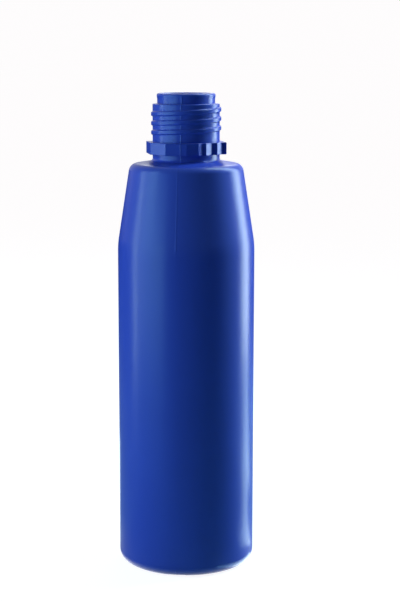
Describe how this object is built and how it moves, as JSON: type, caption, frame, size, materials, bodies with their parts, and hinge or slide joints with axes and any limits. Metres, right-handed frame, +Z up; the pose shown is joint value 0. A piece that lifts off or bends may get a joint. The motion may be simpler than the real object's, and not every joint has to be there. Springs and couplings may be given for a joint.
{
  "type": "wide mouth bottle",
  "caption": "Blow-moulded cylindrical plastic bottle with a tapered shoulder and an open screw neck above a ratchet ring.",
  "frame": {"origin": "centre of the standing ring, on the floor plane", "axes": "+Z up the bottle's axis to the mouth; the mould's parting plane is YZ, with the pictured front towards -Y"},
  "size_m": [0.0634, 0.0634, 0.2207],
  "materials": {
    "bottle_plastic": "satin moulded polyethylene, blue all through"
  },
  "bodies": {
    "root": {"bottle": "bottle_plastic"}
  },
  "joints": []
}
